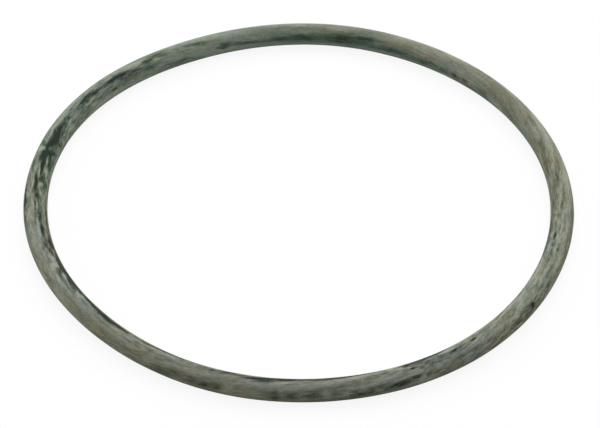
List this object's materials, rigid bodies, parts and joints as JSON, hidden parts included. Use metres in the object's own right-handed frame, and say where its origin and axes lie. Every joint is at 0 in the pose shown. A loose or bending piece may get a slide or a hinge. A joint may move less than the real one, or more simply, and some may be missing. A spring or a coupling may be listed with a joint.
{
  "type": "o-ring",
  "caption": "Round-section rubber sealing ring, lying flat, that is squeezed in a groove to seal a joint between two parts.",
  "frame": {"origin": "the centre of the ring, on its mid plane, where the two halves of its mould met", "axes": "+Z along the ring's axis, up as it lies flat; X and Y are in the mid plane, and the ring is the same all round"},
  "size_m": [0.0862, 0.0862, 0.0036],
  "materials": {
    "nitrile_rubber": "black nitrile rubber, compression moulded, dulled by a grey-green film of dust and bloom that is rubbed off in streaks along the ring"
  },
  "bodies": {
    "root": {"o_ring": "nitrile_rubber"}
  },
  "joints": []
}
